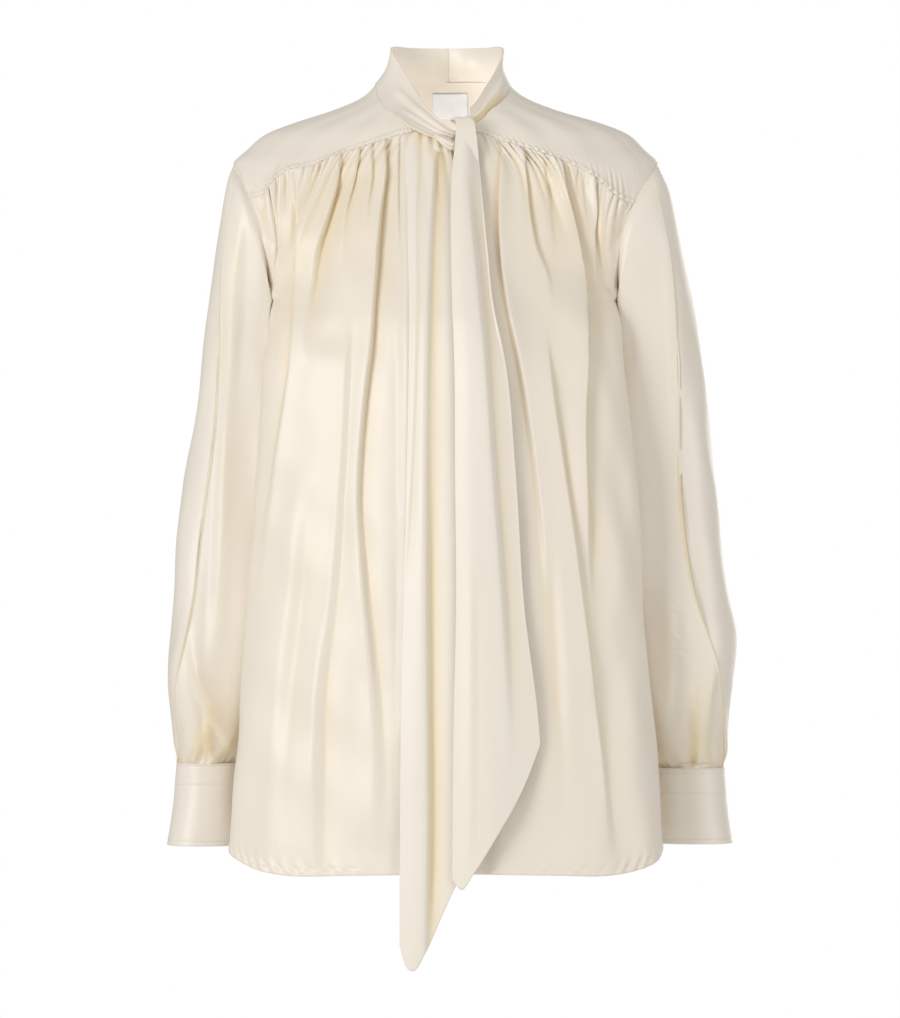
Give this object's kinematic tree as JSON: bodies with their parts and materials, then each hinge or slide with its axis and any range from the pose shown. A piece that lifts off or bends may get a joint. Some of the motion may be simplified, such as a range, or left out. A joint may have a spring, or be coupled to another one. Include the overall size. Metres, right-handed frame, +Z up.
{
  "type": "tie-neck blouse",
  "caption": "Long-sleeved satin blouse with a shoulder yoke, gathered fronts and back, a stand collar that runs on into long loosely knotted tie ends, and deep flared cuffs.",
  "frame": {"origin": "centre of the neck opening at the height of the shoulder line, where the blouse hangs on the wearer's shoulders", "axes": "+Z up along the body, -Y towards the front of the blouse, +X towards the wearer's left"},
  "size_m": [0.5356, 0.2952, 0.8564],
  "materials": {
    "yoke": "soft satin sheen",
    "front_right": "soft satin sheen",
    "front_left": "soft satin sheen",
    "back": "soft satin sheen",
    "sleeve_right": "soft satin sheen",
    "sleeve_left": "soft satin sheen",
    "cuff_right": "soft satin sheen",
    "cuff_left": "soft satin sheen",
    "collar_right": "soft satin sheen",
    "collar_left": "soft satin sheen",
    "tie_knot": "soft satin sheen",
    "tie_end_right": "soft satin sheen",
    "tie_end_left": "soft satin sheen",
    "neck_label": "smooth woven tape"
  },
  "bodies": {
    "root": {"yoke": "yoke", "front_right": "front_right", "front_left": "front_left", "back": "back", "sleeve_right": "sleeve_right", "sleeve_left": "sleeve_left", "cuff_right": "cuff_right", "cuff_left": "cuff_left", "collar_right": "collar_right", "collar_left": "collar_left", "tie_knot": "tie_knot", "tie_end_right": "tie_end_right", "tie_end_left": "tie_end_left", "neck_label": "neck_label"}
  },
  "joints": []
}
